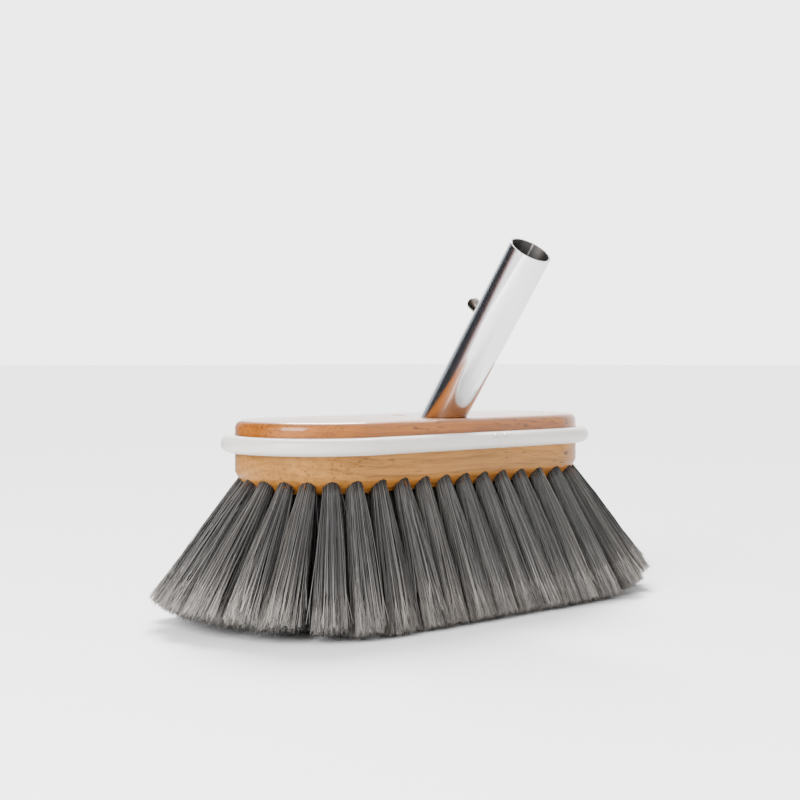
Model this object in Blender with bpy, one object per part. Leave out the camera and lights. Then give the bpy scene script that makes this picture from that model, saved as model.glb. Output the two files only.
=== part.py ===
"""Wall brush: a varnished wood block with a vinyl bumper, a tilted handle tube
with a spring snap button, and rings of flared bristle tufts.

Metres, +Z up. X runs along the block, the handle tube leans towards -Y, and
z = 0 is the plane of the bristle tips.
"""

import math

import bmesh
import bpy
from mathutils import Vector

GAP = 0.0003                  # air left between two pieces that touch

# wood block
BLOCK_LENGTH = 0.254
BLOCK_RADIUS = 0.0475         # round ends, half the block's width
BLOCK_TOP = 0.115
BLOCK_HEIGHT = 0.040
BEVEL = 0.008                 # depth of the eased lower edge
BEVEL_TOP = 0.0105            # where it starts, above the block's underside
KNEE = 0.0058                 # height and depth where it turns steeper; the outer
KNEE_IN = 0.0026              # tufts stand below it
TOP_ROUND = 0.0045
TOP_STEPS = 4
STRAIGHT = BLOCK_LENGTH / 2 - BLOCK_RADIUS   # half the length of the straight sides
ARC_STEPS = 32                # facets in each round end
DOME_STEPS = 6
CLEAR = 0.003                 # least distance a cutter runs out of the wood

# vinyl bumper strip
BUMPER_TOP = BLOCK_TOP - 0.0085
BUMPER_HEIGHT = 0.0098
BUMPER_OUT = 0.0082
BUMPER_STEPS = 8              # facets over the rounded nose
BUMPER_MID = BUMPER_TOP - BUMPER_HEIGHT / 2
RIB_THICK = 0.0026
RIB_DEPTH = 0.0060
SEAM_X = 0.0168               # where the two ends of the strip meet, on the front
BRAD_SPACING = 0.0085
BRAD_SLOPE = math.radians(35) # driven downwards through the rounded nose
BRAD_HEAD = 0.0013
BRAD_DOME = 0.0009
BRAD_SHANK = 0.0007
BRAD_LENGTH = 0.020

# handle tube and its bore
TUBE_TILT = math.radians(35.7)
TUBE_Y = -0.02375             # where the tube's axis leaves the block's top face
TUBE_RADIUS = 0.0127
TUBE_WALL = 0.0012
TUBE_OUT = 0.1194             # along its axis, from the top face to the mouth
TUBE_IN = 0.0275              # along its axis, from the top face to the blind end
TUBE_CLEAR = 0.03             # the bore's cutter runs this far past the top face
TUBE_STEPS = 40

# snap button on a U-shaped leaf spring inside the tube
BUTTON_ALONG = 0.0697
BUTTON_RADIUS = 0.0038
BUTTON_PROUD = 0.0095
BUTTON_DOME = 0.0026
BUTTON_HOLE = (0.0043, 0.0051)   # longer along the tube: the button tips as it sinks
BUTTON_HOLE_SHIFT = 0.0009
HOLE_FROM, HOLE_TO = 0.005, 0.020    # the hole's cutter, outwards from the tube's axis
LEAF_OUT = 0.0102             # from the tube's axis to a leaf's outer face
LEAF_THICK = 0.0008
LEAF_WIDTH = 0.0090
LEAF_END = 0.084
HINGE_ALONG = 0.030
HINGE_OUT = LEAF_OUT - LEAF_THICK / 2
RIVET_HEAD = 0.0022
RIVET_NECK = 0.0013
RIVET_THICK = 0.0010

# lock screw, square to the tube, driven in from the block's top face
SCREW_Y = 0.012
SCREW_SINK = 0.0025
SCREW_HEAD = 0.0035
SCREW_SHANK = 0.0021
SCREW_LENGTH = 0.0254
SCREW_RIM = 0.0003
SCREW_CONE = 0.0021           # from the head's face to the end of its countersink
SCREW_SLOT = 0.0009

# bristle tufts
TUFT_SIDES = 10
TUFT_RADIUS = 0.0043
HOLE_RADIUS = TUFT_RADIUS + GAP
STEM = 0.002                  # a bundle stays round this far out of the wood
CUT_PAST = 0.0075             # a hole's cutter runs this far out of the wood
MATT_LOW = 0.001             # tips of a row run together between these heights
MATT_HIGH = 0.022
MATT_HALF = 0.003
# the outer row's holes stand closer round the ends, and wander from even spacing
OUTER_MID = 4.187             # holes from the first one to the middle of the front
BUNCH = 0.00676
DRIFT = 0.0020
DRIFT_START = 1.94            # holes
DRIFT_PERIOD = 10.26          # holes
# tips of the end tufts of the outer row reach further, and all lean towards +X
REACH = 0.0040
LEAN = 0.0030
# name, count, root radius, tip radius, half spread at the tip, lift and slope of
# the end tips, fan of the tips along the block, hole depth
RINGS = (
    ("outer", 38, 0.0428, 0.0760, 0.0100, 0.0105, 0.60, 1.17, 0.0105),
    ("second", 31, 0.0310, 0.0540, 0.0108, 0.0040, 0.20, 1.12, 0.0095),
    ("inner", 26, 0.0160, 0.0300, 0.0114, 0.0, 0.0, 1.06, 0.0080),
)
CENTRE_COUNT = 11
CENTRE_SPREAD = 0.0140
CENTRE_FAN = 1.06
CENTRE_DEPTH = 0.0080
CROWDING = 0.47               # half width of a tuft's tip over the tip spacing

ALONG = Vector((0.0, -math.sin(TUBE_TILT), math.cos(TUBE_TILT)))
OUTWARD = Vector((0.0, math.cos(TUBE_TILT), math.sin(TUBE_TILT)))
ACROSS = Vector((1.0, 0.0, 0.0))
UP = Vector((0.0, 0.0, 1.0))


def material(name, colour, roughness, metallic=0.0):
    made = bpy.data.materials.new(name)
    made.use_nodes = True
    shader = made.node_tree.nodes["Principled BSDF"]
    shader.inputs["Base Color"].default_value = (*colour, 1.0)
    shader.inputs["Roughness"].default_value = roughness
    shader.inputs["Metallic"].default_value = metallic
    made.diffuse_color = (*colour, 1.0)
    return made


def finish(name, bm, look=None, origin=None):
    """Turn the mesh into a named object, its origin at the given point."""
    bmesh.ops.recalc_face_normals(bm, faces=bm.faces)
    for face in bm.faces:
        face.smooth = True
    for edge in bm.edges:
        edge.smooth = edge.calc_face_angle(0.0) < math.radians(35)
    if origin is not None:
        bmesh.ops.translate(bm, verts=bm.verts, vec=-origin)
    mesh = bpy.data.meshes.new(name)
    bm.to_mesh(mesh)
    bm.free()
    made = bpy.data.objects.new(name, mesh)
    if origin is not None:
        made.location = origin
    bpy.context.scene.collection.objects.link(made)
    if look is None:
        made.display_type = "WIRE"
        made.hide_render = True
    else:
        mesh.materials.append(look)
    return made


def cut(target, cutter, operation="DIFFERENCE"):
    step = target.modifiers.new(cutter.name, "BOOLEAN")
    step.operation = operation
    step.solver = "EXACT"
    step.object = cutter


def loft(bm, rings, cyclic=False):
    """Skin a list of equal loops; the two ends are capped unless it is cyclic."""
    loops = [[bm.verts.new(point) for point in ring] for ring in rings]
    pairs = list(zip(loops, loops[1:]))
    if cyclic:
        pairs.append((loops[-1], loops[0]))
    for low, high in pairs:
        for i in range(len(low)):
            j = (i + 1) % len(low)
            bm.faces.new((low[i], low[j], high[j], high[i]))
    if not cyclic:
        bm.faces.new(loops[0])
        bm.faces.new(loops[-1])


def stadium(offset, z):
    """Loop of the block's outline, moved out by offset, anticlockwise."""
    radius = BLOCK_RADIUS + offset
    loop = []
    for side, start in ((1, -math.pi / 2), (-1, math.pi / 2)):
        for i in range(ARC_STEPS + 1):
            angle = start + math.pi * i / ARC_STEPS
            loop.append(Vector((side * STRAIGHT + radius * math.cos(angle),
                                radius * math.sin(angle), z)))
    return loop


def circle(centre, first, second, radius, steps):
    """Loop round a centre in the plane of two unit vectors."""
    try:
        across, along = radius
    except TypeError:
        across = along = radius
    return [centre
            + first * (across * math.cos(2 * math.pi * (i + 0.5) / steps))
            + second * (along * math.sin(2 * math.pi * (i + 0.5) / steps))
            for i in range(steps)]


def on_tube(along, out=0.0, across=0.0):
    """Point in the tube's own directions, from where its axis leaves the block."""
    base = Vector((0.0, TUBE_Y, BLOCK_TOP))
    return base + ALONG * along + OUTWARD * out + ACROSS * across


def turned(name, profile, centre, axis, look=None, steps=16, origin=None):
    """Round piece from (distance along the axis, radius) pairs."""
    first = ACROSS
    second = axis.cross(first).normalized()
    bm = bmesh.new()
    loft(bm, [circle(centre + axis * d, first, second, r, steps) for d, r in profile])
    return finish(name, bm, look, origin)


# ---------------------------------------------------------------- wood and vinyl

def wood_block(look):
    """Stack of outlines with the bumper groove left in its side."""
    groove = RIB_THICK / 2 + GAP
    deep = -(RIB_DEPTH + GAP)
    bottom = BLOCK_TOP - BLOCK_HEIGHT
    side = [(bottom, -BEVEL), (bottom + KNEE, -KNEE_IN), (bottom + BEVEL_TOP, 0.0),
            (BUMPER_MID - groove, 0.0), (BUMPER_MID - groove, deep),
            (BUMPER_MID + groove, deep), (BUMPER_MID + groove, 0.0)]
    for i in range(TOP_STEPS + 1):
        angle = math.pi / 2 * i / TOP_STEPS
        side.append((BLOCK_TOP - TOP_ROUND * (1 - math.sin(angle)),
                     -TOP_ROUND * (1 - math.cos(angle))))
    bm = bmesh.new()
    loft(bm, [stadium(offset, z) for z, offset in side])
    return finish("wood_block", bm, look)


def bumper_profile():
    """(offset from the block's side, height) of the strip, rib included."""
    half = BUMPER_HEIGHT / 2
    flat = BUMPER_OUT - half
    nose = [(flat + half * math.cos(a), half * math.sin(a)) for a in
            (math.pi * (i / BUMPER_STEPS - 0.5) for i in range(BUMPER_STEPS + 1))]
    rib = RIB_THICK / 2
    return [(GAP, -half)] + nose + [(GAP, half), (GAP, rib), (-RIB_DEPTH, rib),
                                    (-RIB_DEPTH, -rib), (GAP, -rib)]


def bumper_strip(look):
    """One strip round the block; its ends butt together on the front."""
    profile = bumper_profile()
    half_seam = GAP / 2

    def section(i):
        return [stadium(offset, BUMPER_MID + z)[i] for offset, z in profile]

    def front(x):
        return [Vector((x, -(BLOCK_RADIUS + offset), BUMPER_MID + z))
                for offset, z in profile]

    total = 2 * (ARC_STEPS + 1)
    rings = [front(SEAM_X + half_seam)] + [section(i) for i in range(total)]
    rings.append(front(SEAM_X - half_seam))
    bm = bmesh.new()
    loft(bm, rings)
    return finish("bumper_strip", bm, look)


def brad_centre(side):
    """Point on the strip's rounded nose where a brad goes in."""
    half = BUMPER_HEIGHT / 2
    face = BLOCK_RADIUS + BUMPER_OUT - half * (1 - math.cos(BRAD_SLOPE))
    return Vector((SEAM_X + side * BRAD_SPACING / 2, -face,
                   BUMPER_MID + half * math.sin(BRAD_SLOPE)))


def brad_way():
    return Vector((0.0, math.cos(BRAD_SLOPE), -math.sin(BRAD_SLOPE)))


def seam_brad(name, side, look):
    """Small round-headed brad through the strip beside its seam."""
    shape = [(BRAD_LENGTH, BRAD_SHANK), (-GAP, BRAD_SHANK)]
    for share in (0.0, 0.4, 0.75, 0.97):
        shape.append((-GAP - BRAD_DOME * share,
                      BRAD_HEAD * math.sqrt(1 - share * share)))
    return turned(name, shape, brad_centre(side), brad_way(), look, 12)


def brad_hole(side):
    wide = BRAD_SHANK + GAP
    return turned(f"brad_hole_{side}", ((BRAD_LENGTH + GAP, wide), (-CLEAR, wide)),
                  brad_centre(side), brad_way(), steps=12)


# ---------------------------------------------------------------- handle

def handle_tube(look):
    inner = TUBE_RADIUS - TUBE_WALL
    bm = bmesh.new()
    loft(bm, [circle(on_tube(a), ACROSS, OUTWARD, r, TUBE_STEPS) for a, r in
              ((-TUBE_IN, TUBE_RADIUS), (TUBE_OUT, TUBE_RADIUS),
               (TUBE_OUT, inner), (-TUBE_IN, inner))], cyclic=True)
    return finish("handle_tube", bm, look)


def tube_bore():
    depth = -(TUBE_IN + GAP)
    return turned("tube_bore", ((depth, TUBE_RADIUS + GAP), (TUBE_CLEAR, TUBE_RADIUS + GAP)),
                  on_tube(0.0), ALONG, steps=TUBE_STEPS)


def button_hole():
    centre = on_tube(BUTTON_ALONG + BUTTON_HOLE_SHIFT)
    return turned("button_hole", ((HOLE_FROM, BUTTON_HOLE), (HOLE_TO, BUTTON_HOLE)),
                  centre, OUTWARD, steps=20)


def snap_button(look, hinge):
    """Round button with a domed end, standing on the moving leaf."""
    base = LEAF_OUT + GAP
    top = TUBE_RADIUS + BUTTON_PROUD
    shape = [(base, BUTTON_RADIUS)]
    for i in range(DOME_STEPS):
        angle = math.pi / 2 * i / DOME_STEPS
        shape.append((top - BUTTON_DOME * (1 - math.sin(angle)),
                      BUTTON_RADIUS * math.cos(angle)))
    shape.append((top, BUTTON_RADIUS * 0.08))
    return turned("snap_button", shape, on_tube(BUTTON_ALONG), OUTWARD, look, 20, hinge)


def button_rivet(look, hinge):
    """Flat-headed rivet through the moving leaf, under the button."""
    leaf_in = LEAF_OUT - LEAF_THICK
    under = leaf_in - GAP
    shape = ((under - RIVET_THICK, RIVET_HEAD * 0.8),
             (under - RIVET_THICK * 0.6, RIVET_HEAD),
             (under, RIVET_HEAD), (under, RIVET_NECK), (LEAF_OUT, RIVET_NECK))
    return turned("button_rivet", shape, on_tube(BUTTON_ALONG), OUTWARD, look, 16, hinge)


def rivet_hole():
    wide = RIVET_NECK + GAP
    return turned("rivet_hole", ((0.005, wide), (0.015, wide)),
                  on_tube(BUTTON_ALONG), OUTWARD, steps=16)


def leaf(name, path, look, hinge=None):
    """Flat strip bent along a path of (along, out) points inside the tube."""
    half_t, half_w = LEAF_THICK / 2, LEAF_WIDTH / 2
    rings = []
    for i, (a, o) in enumerate(path):
        before = Vector(path[max(i - 1, 0)])
        after = Vector(path[min(i + 1, len(path) - 1)])
        run = (after - before).normalized()
        rings.append([on_tube(a - run.y * t, o + run.x * t, w) for t, w in
                      ((-half_t, -half_w), (-half_t, half_w),
                       (half_t, half_w), (half_t, -half_w))])
    bm = bmesh.new()
    loft(bm, rings)
    return finish(name, bm, look, hinge)


def moving_leaf(look, hinge):
    start = HINGE_ALONG + GAP / 2
    return leaf("spring_moving_leaf",
                [(start, HINGE_OUT), (LEAF_END, HINGE_OUT)], look, hinge)


def fixed_leaf(look):
    """The still leaf and the round bend that joins it to the moving one."""
    steps = 12
    start = HINGE_ALONG - GAP / 2
    bend = [(start - HINGE_OUT * math.sin(math.pi * i / steps),
             HINGE_OUT * math.cos(math.pi * i / steps)) for i in range(steps + 1)]
    return leaf("spring_fixed_leaf", bend + [(LEAF_END, -HINGE_OUT)], look)


def screw_centre():
    return Vector((0.0, SCREW_Y, BLOCK_TOP - SCREW_SINK))


def lock_screw(look):
    """Slotted countersunk wood screw that holds the tube in its bore."""
    shape = ((0.0, SCREW_HEAD), (SCREW_RIM, SCREW_HEAD), (SCREW_CONE, SCREW_SHANK),
             (SCREW_LENGTH * 0.72, SCREW_SHANK), (SCREW_LENGTH, 0.0003))
    return turned("lock_screw", shape, screw_centre(), -OUTWARD, look, 20)


def screw_slot():
    half = SCREW_SLOT / 2
    bm = bmesh.new()
    centre = screw_centre()
    loft(bm, [[centre - OUTWARD * d + ACROSS * x + ALONG * y for x, y in
               ((-0.004, -half), (0.004, -half), (0.004, half), (-0.004, half))]
              for d in (-0.001, SCREW_SLOT)])
    return finish("screw_slot", bm)


def screw_hole():
    """Counterbore, countersink and pilot hole, open at the top face."""
    head, shank = SCREW_HEAD + GAP, SCREW_SHANK + GAP
    shape = ((-0.012, head), (SCREW_RIM + GAP, head), (SCREW_CONE + GAP, shank),
             (SCREW_LENGTH + GAP, shank))
    return turned("screw_hole", shape, screw_centre(), -OUTWARD, steps=20)


# ---------------------------------------------------------------- bristles

def outline_point(run, radius):
    """Spine point, outward direction and share of roundness at a distance run
    along a stadium of this end radius, anticlockwise from its front left corner."""
    arc = math.pi * radius
    run %= 4 * STRAIGHT + 2 * arc
    if run < 2 * STRAIGHT:
        return Vector((run - STRAIGHT, 0, 0)), Vector((0, -1, 0)), 0.0
    run -= 2 * STRAIGHT
    if run < arc:
        turn = run / radius
        out = Vector((math.sin(turn), -math.cos(turn), 0))
        return Vector((STRAIGHT, 0, 0)), out, math.sin(turn)
    run -= arc
    if run < 2 * STRAIGHT:
        return Vector((STRAIGHT - run, 0, 0)), Vector((0, 1, 0)), 0.0
    turn = (run - 2 * STRAIGHT) / radius
    out = Vector((-math.sin(turn), math.cos(turn), 0))
    return Vector((-STRAIGHT, 0, 0)), out, math.sin(turn)


def side_of(point):
    if abs(point.x) > STRAIGHT:
        return "right" if point.x > 0 else "left"
    return "back" if point.y > 0 else "front"


class Tuft:
    """One bundle: where it leaves the wood, where its tip is, how it spreads."""

    def __init__(self, root, tip, out, width, spread, depth):
        self.root, self.tip, self.depth = root, tip, depth
        self.out, self.width, self.spread = out, width, spread
        self.side = Vector((-out.y, out.x, 0))
        self.tilt = 0.0
        self.axis = (root - tip).normalized()
        self.first = (self.side - self.axis * self.side.dot(self.axis)).normalized()
        self.second = self.axis.cross(self.first)

    def round(self, height, radius):
        """Loop square to the hole, this far above the root."""
        return circle(self.root + self.axis * height, self.first, self.second,
                      radius, TUFT_SIDES)

    def bundle(self, bm):
        """Round in its hole, wide and flat at the tip."""
        tip = circle(self.tip, self.side, UP.cross(self.side) - UP * self.tilt,
                     (self.width, self.spread), TUFT_SIDES)
        seat = self.depth - GAP
        loft(bm, [self.round(seat, TUFT_RADIUS), self.round(-STEM, TUFT_RADIUS), tip])

    def hole(self, bm):
        loft(bm, [self.round(self.depth, HOLE_RADIUS),
                  self.round(-CUT_PAST, HOLE_RADIUS)])

    def slice(self):
        """Section across the row where its tips run together."""
        rise = self.root - self.tip
        low = self.tip + rise * (MATT_LOW / rise.z)
        high = self.tip + rise * (MATT_HIGH / rise.z)
        half = self.out * MATT_HALF
        return [low - half, low + half, high + half, high - half]


def outer_run(k, step, count):
    """Distance of one outer hole along the outline."""
    place = k - OUTER_MID
    return (STRAIGHT + step * place + BUNCH * math.sin(4 * math.pi * place / count)
            + DRIFT * math.cos(2 * math.pi * (k - DRIFT_START) / DRIFT_PERIOD))


def ring_tufts(kind, count, root_r, tip_r, spread, lift, slope, fan, depth):
    """Tufts of one ring as {side name: [tufts]}."""
    length = 4 * STRAIGHT + 2 * math.pi * root_r
    step = length / count
    floor = BLOCK_TOP - BLOCK_HEIGHT
    sweep = Vector((0.0, 0.0, lift))
    reach = 0.0
    runs = [step * (k + 0.5) for k in range(count)]
    if kind == "outer":
        floor += (root_r - BLOCK_RADIUS + BEVEL) * KNEE / (BEVEL - KNEE_IN)
        sweep.x, reach = LEAN, REACH
        runs = [outer_run(k, step, count) for k in range(count)]
    groups = {}
    for k, run in enumerate(runs):
        spine, out, roundness = outline_point(run, root_r)
        root = spine + out * root_r + UP * floor
        tip = spine * fan + out * (tip_r + reach * roundness) + sweep * roundness
        before = (run - runs[k - 1]) % length
        after = (runs[(k + 1) % count] - run) % length
        crowd = min(before, after) * (fan + roundness * (tip_r / root_r - fan))
        made = Tuft(root, tip, out, CROWDING * crowd, spread, depth)
        made.tilt = slope * roundness
        groups.setdefault(side_of(root), []).append(made)
    return groups


def centre_tufts():
    """Straight row down the middle; its middle tip stands on the origin."""
    step = 2 * STRAIGHT / (CENTRE_COUNT - 1)
    made = []
    for k in range(CENTRE_COUNT):
        x = step * k - STRAIGHT
        root = Vector((x, 0, BLOCK_TOP - BLOCK_HEIGHT))
        tip = Vector((x * CENTRE_FAN, 0, 0))
        made.append(Tuft(root, tip, Vector((0, -1, 0)), CROWDING * step,
                         CENTRE_SPREAD, CENTRE_DEPTH))
    return made


def tuft_holes(tufts):
    bm = bmesh.new()
    for tuft in tufts:
        tuft.hole(bm)
    return finish("tuft_holes", bm)


def tuft_row(name, tufts, look):
    """Row of bundles, one body because their tips run together."""
    bm = bmesh.new()
    loft(bm, [tuft.slice() for tuft in tufts])
    bmesh.ops.triangulate(bm, faces=bm.faces)
    row = finish(name, bm, look)
    bm = bmesh.new()
    for tuft in tufts:
        tuft.bundle(bm)
    bmesh.ops.triangulate(bm, faces=bm.faces)
    cut(row, finish(f"{name}_bundles", bm), "UNION")


def build():
    for old in list(bpy.data.objects):
        bpy.data.objects.remove(old, do_unlink=True)

    wood = material("varnished_wood", (0.62, 0.30, 0.09), 0.25)
    vinyl = material("white_vinyl", (0.78, 0.75, 0.71), 0.4)
    chrome = material("polished_tube", (0.75, 0.75, 0.76), 0.12, 1.0)
    nickel = material("nickel_button", (0.32, 0.31, 0.30), 0.25, 1.0)
    spring = material("spring_steel", (0.45, 0.46, 0.48), 0.35, 1.0)
    steel = material("dark_screw", (0.20, 0.18, 0.16), 0.45, 1.0)
    bristle = material("grey_bristle", (0.16, 0.155, 0.15), 0.7)

    block = wood_block(wood)
    strip = bumper_strip(vinyl)
    seam_brad("seam_brad_left", -1, steel)
    seam_brad("seam_brad_right", 1, steel)
    tube = handle_tube(chrome)
    hinge = on_tube(HINGE_ALONG, HINGE_OUT)
    snap_button(nickel, hinge)
    button_rivet(spring, hinge)
    mover = moving_leaf(spring, hinge)
    fixed_leaf(spring)
    screw = lock_screw(steel)

    every = []
    for ring in RINGS:
        groups = ring_tufts(*ring)
        for side, tufts in groups.items():
            tuft_row(f"{ring[0]}_tufts_{side}", tufts, bristle)
            every += tufts
    row = centre_tufts()
    tuft_row("centre_tufts", row, bristle)
    every += row

    pilot = screw_hole()
    cut(block, tuft_holes(every))
    cut(block, tube_bore())
    cut(block, pilot)
    for side in (-1, 1):
        hole = brad_hole(side)
        cut(block, hole)
        cut(strip, hole)
    cut(tube, button_hole())
    cut(tube, pilot)
    cut(mover, rivet_hole())
    cut(screw, screw_slot())


build()
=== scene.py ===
"""Varnished wall brush: bristles, finishes and studio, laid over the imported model.

Metres, +Z up. X runs along the block and the handle tube leans towards -Y.
"""

import math

import bmesh
import bpy
import numpy as np
from mathutils import Matrix, Vector


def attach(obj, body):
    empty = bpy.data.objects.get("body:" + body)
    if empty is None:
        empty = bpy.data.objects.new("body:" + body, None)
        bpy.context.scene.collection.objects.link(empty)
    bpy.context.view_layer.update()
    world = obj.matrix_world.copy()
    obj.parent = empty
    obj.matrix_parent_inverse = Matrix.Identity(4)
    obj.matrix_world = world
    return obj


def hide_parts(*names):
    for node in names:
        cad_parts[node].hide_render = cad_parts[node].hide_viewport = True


bl_info = {
    "name": "Wall Brush Finisher",
    "version": (1, 0, 0),
    "blender": (4, 5, 0),
    "location": "3D View > Sidebar > Brush",
    "description": "Lays the bristles, the varnish, the vinyl and the metal of a wall brush",
    "category": "Object",
}

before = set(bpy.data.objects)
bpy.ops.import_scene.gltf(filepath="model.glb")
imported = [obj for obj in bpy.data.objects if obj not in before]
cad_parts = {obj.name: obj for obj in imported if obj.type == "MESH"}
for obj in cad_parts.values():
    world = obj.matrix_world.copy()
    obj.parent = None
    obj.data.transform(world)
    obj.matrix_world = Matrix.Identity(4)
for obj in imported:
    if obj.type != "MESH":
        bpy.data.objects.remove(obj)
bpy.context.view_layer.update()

# ---------------------------------------------------------------- the brush's layout

BLOCK_RADIUS = 0.0475
BLOCK_TOP = 0.115
BLOCK_FLOOR = 0.075
BEVEL = 0.008
KNEE = 0.0058
KNEE_IN = 0.0026
STRAIGHT = 0.0795             # half the length of the block's straight sides
TUFT_RADIUS = 0.0043
BUMPER_MID = 0.1016
TUBE_TILT = math.radians(35.7)
TUBE_Y = -0.02375
TUBE_RADIUS = 0.0127
TUBE_WALL = 0.0012
OUTER_MID = 4.187             # holes from the outer row's first to the middle of the front
BUNCH = 0.00676
DRIFT = 0.0020
DRIFT_START = 1.94
DRIFT_PERIOD = 10.26
REACH = 0.0040
LEAN = 0.0030
CROWDING = 0.47
CENTRE_COUNT = 11
CENTRE_SPREAD = 0.0140
CENTRE_FAN = 1.06
# count, root radius, tip radius, half spread, lift and slope of the end tips, fan
RINGS = {
    "outer": (38, 0.0428, 0.0760, 0.0100, 0.0105, 0.60, 1.17),
    "second": (31, 0.0310, 0.0540, 0.0108, 0.0040, 0.20, 1.12),
    "inner": (26, 0.0160, 0.0300, 0.0114, 0.0, 0.0, 1.06),
}
SIDES = ("front", "back", "left", "right")

SEAM_TURN = math.radians(38)  # where the weld runs inside the tube
KNOT = (0.088, -0.0475, 0.0905)

# strands
SPINE_STEPS = (0.0, 0.10, 0.30, 0.55, 0.79, 1.0)      # shares of a filament's length
TAPER = (1.0, 1.0, 0.98, 0.95, 0.88, 0.55)
SPLIT_STEPS = (0.84, 0.92, 1.0)
SPLIT_TAPER = (1.0, 0.9, 0.5)
LOOSE_SHARE = 0.055           # filaments that stray from their bundle
LOOSE_SPREAD = 0.40
FIBRE_STEPS = 5
FIBRE_TAPER = (1.3, 1.1, 0.9, 0.7, 0.4)
# (share of the length, share of the bundle's width) down a bundle's middle, where a dark cone
# is painted shade
SHADE_CORE = ((0.0, 0.80), (0.12, 0.80), (0.45, 0.66), (0.72, 0.52), (0.84, 0.30))
FLOOR_CLEAR = 0.0002          # least height of a bristle above the floor

# studio
GLOSSY_SKY = 3.0              # strength of the white surround in reflections
SUN_PLACE = (0.58, 0.64, 0.95)
SUN_WIDTH = math.radians(28)
SOFTBOX_PLACE = (-1.4, -0.35, 0.8)
SOFTBOX_SIZE = 0.9
CARD_NEAR, CARD_FAR = math.radians(-12), math.radians(82)   # round the tube, from +Y
CARD_REACH = 0.40
CARD_HEIGHT = 0.9
CARD_STEPS = 24
CAMERA_PLACE = (-0.64684, -0.65931, 0.15014)
CAMERA_LOOK = (0.69268, 0.72073, -0.02740)

ALONG = Vector((0.0, -math.sin(TUBE_TILT), math.cos(TUBE_TILT)))
OUTWARD = Vector((0.0, math.cos(TUBE_TILT), math.sin(TUBE_TILT)))
UP = Vector((0.0, 0.0, 1.0))


# ---------------------------------------------------------------- settings

class BrushBristles(bpy.types.PropertyGroup):
    outer_strands: bpy.props.IntProperty(
        name="Outer strands", description="Filaments in each tuft of the outer ring",
        default=280, min=20, max=600)
    inner_strands: bpy.props.IntProperty(
        name="Inner strands", description="Filaments in each tuft behind the outer ring",
        default=130, min=20, max=400)
    strand_radius: bpy.props.FloatProperty(
        name="Strand radius", description="Radius of one filament near its root",
        default=0.00024, min=0.00005, max=0.001, precision=5,
        subtype="DISTANCE", unit="LENGTH")
    seed: bpy.props.IntProperty(
        name="Seed", description="Start of the random draws for the filaments", default=7)
    root_colour: bpy.props.FloatVectorProperty(
        name="Root colour", description="Filament colour where it leaves the wood",
        subtype="COLOR", size=3, default=(0.050, 0.048, 0.046), min=0, max=1)
    tip_colour: bpy.props.FloatVectorProperty(
        name="Tip colour", description="Colour of the flagged, frayed ends",
        subtype="COLOR", size=3, default=(0.265, 0.248, 0.232), min=0, max=1)


class BrushFinishes(bpy.types.PropertyGroup):
    wood_light: bpy.props.FloatVectorProperty(
        name="Light wood", description="Early wood between the growth lines",
        subtype="COLOR", size=3, default=(0.285, 0.130, 0.028), min=0, max=1)
    wood_dark: bpy.props.FloatVectorProperty(
        name="Dark wood", description="Late wood in the growth lines",
        subtype="COLOR", size=3, default=(0.16, 0.060, 0.012), min=0, max=1)
    # painted shade: this tint darkens and ambers the wood above the bumper, standing in for
    # shade and reflection on the top band
    painted_top_shade: bpy.props.FloatVectorProperty(
        name="Amber varnish", description="Tint of the thick varnish above the bumper",
        subtype="COLOR", size=3, default=(0.95, 0.60, 0.15), min=0, max=1)
    vinyl: bpy.props.FloatVectorProperty(
        name="Vinyl", description="Colour of the bumper strip",
        subtype="COLOR", size=3, default=(0.56, 0.53, 0.50), min=0, max=1)
    tube: bpy.props.FloatVectorProperty(
        name="Tube", description="Colour of the polished handle tube",
        subtype="COLOR", size=3, default=(0.66, 0.66, 0.67), min=0, max=1)
    button: bpy.props.FloatVectorProperty(
        name="Button", description="Colour of the snap button",
        subtype="COLOR", size=3, default=(0.13, 0.12, 0.10), min=0, max=1)
    steel: bpy.props.FloatVectorProperty(
        name="Steel", description="Colour of the spring, rivet and brads",
        subtype="COLOR", size=3, default=(0.50, 0.50, 0.51), min=0, max=1)
    screw: bpy.props.FloatVectorProperty(
        name="Screw", description="Colour of the darkened lock screw",
        subtype="COLOR", size=3, default=(0.16, 0.14, 0.12), min=0, max=1)


class BrushStudio(bpy.types.PropertyGroup):
    floor_colour: bpy.props.FloatVectorProperty(
        name="Floor", description="Colour of the plain studio floor",
        subtype="COLOR", size=3, default=(0.90, 0.90, 0.90), min=0, max=1)
    sky: bpy.props.FloatProperty(
        name="Sky", description="Strength of the even light from all round",
        default=0.9, min=0)
    backdrop: bpy.props.FloatProperty(
        name="Backdrop", description="Brightness of the backdrop as the camera sees it",
        default=4.2, min=0)
    key: bpy.props.FloatProperty(
        name="Key light", description="Strength of the wide light above and behind",
        default=11.0, min=0)
    fill: bpy.props.FloatProperty(
        name="Left light", description="Power of the soft light on the left, in watts",
        default=50.0, min=0)
    lens: bpy.props.FloatProperty(
        name="Lens", description="Focal length of the camera, in millimetres",
        default=67.6, min=10, subtype="DISTANCE_CAMERA")


# ---------------------------------------------------------------- mesh helpers

def only(obj):
    """Select one object and nothing else."""
    bpy.ops.object.select_all(action="DESELECT")
    bpy.context.view_layer.objects.active = obj
    obj.select_set(True)


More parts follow.
